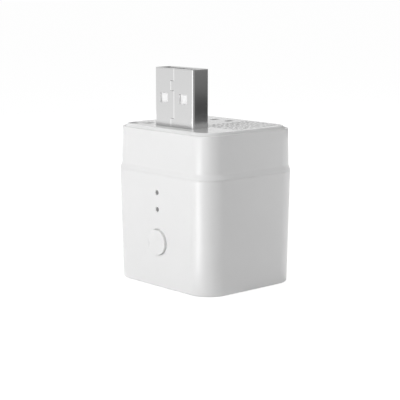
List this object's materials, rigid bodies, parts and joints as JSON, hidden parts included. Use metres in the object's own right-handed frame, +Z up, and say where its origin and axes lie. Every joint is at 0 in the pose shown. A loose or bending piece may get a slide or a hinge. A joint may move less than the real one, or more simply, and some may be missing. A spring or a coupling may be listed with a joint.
{
  "type": "zigbee usb adapter",
  "caption": "White box-shaped wireless adapter with a metal USB plug on top, a USB socket in its base, a push button and indicator lights.",
  "frame": {"origin": "middle of the foot of the housing, on the surface it stands on", "axes": "+X to the right along the front wall, +Y from the front wall with the button to the back wall, +Z up along the USB plug"},
  "size_m": [0.0308, 0.0269, 0.0454],
  "materials": {
    "housing": "satin moulded",
    "button": "satin moulded",
    "plug_metal": "bright plated sheet",
    "socket_metal": "bright plated sheet",
    "insulator": "moulded",
    "contact_gold": "gold plated",
    "circuit_board": "solder mask",
    "shield_metal": "tinned sheet",
    "copper": "plated copper",
    "chip_plastic": "moulded",
    "crystal_metal": "nickel plated",
    "plunger_plastic": "moulded",
    "ferrite": "pressed",
    "can_aluminium": "drawn can",
    "resistor_ceramic": "glazed",
    "capacitor_ceramic": "fired ceramic",
    "light_guide": "smoky clear moulding",
    "light_lens": "clear resin"
  },
  "bodies": {
    "housing": {"upper_shell": "housing", "lower_shell": "housing", "plug_shell": "plug_metal", "socket_shell": "socket_metal", "plug_insulator": "insulator", "socket_insulator": "insulator", "plug_contact_1": "contact_gold", "plug_contact_2": "contact_gold", "plug_contact_3": "contact_gold", "plug_contact_4": "contact_gold", "socket_contact_1": "contact_gold", "socket_contact_2": "contact_gold", "socket_contact_3": "contact_gold", "socket_contact_4": "contact_gold", "main_board": "circuit_board", "radio_board": "circuit_board", "radio_shield": "shield_metal", "switch_dome": "shield_metal", "antenna_trace": "copper", "radio_chip": "chip_plastic", "load_switch_chip": "chip_plastic", "voltage_regulator": "chip_plastic", "switch_body": "chip_plastic", "radio_crystal": "crystal_metal", "power_inductor": "ferrite", "input_capacitor": "can_aluminium", "output_capacitor": "can_aluminium", "chip_resistor_1": "resistor_ceramic", "chip_resistor_2": "resistor_ceramic", "chip_resistor_3": "resistor_ceramic", "chip_resistor_4": "resistor_ceramic", "chip_capacitor_1": "capacitor_ceramic", "chip_capacitor_2": "capacitor_ceramic", "chip_capacitor_3": "capacitor_ceramic", "chip_capacitor_4": "capacitor_ceramic", "light_guide": "light_guide", "led_upper": "light_lens", "led_lower": "light_lens"},
    "button": {"button_cap": "button", "switch_plunger": "plunger_plastic"}
  },
  "joints": [
    {"name": "button_press", "type": "slide", "parent": "housing", "child": "button", "axis": [0, 1, 0], "range_m": [0, 0.0003], "stiffness_N_per_m": 5000}
  ]
}
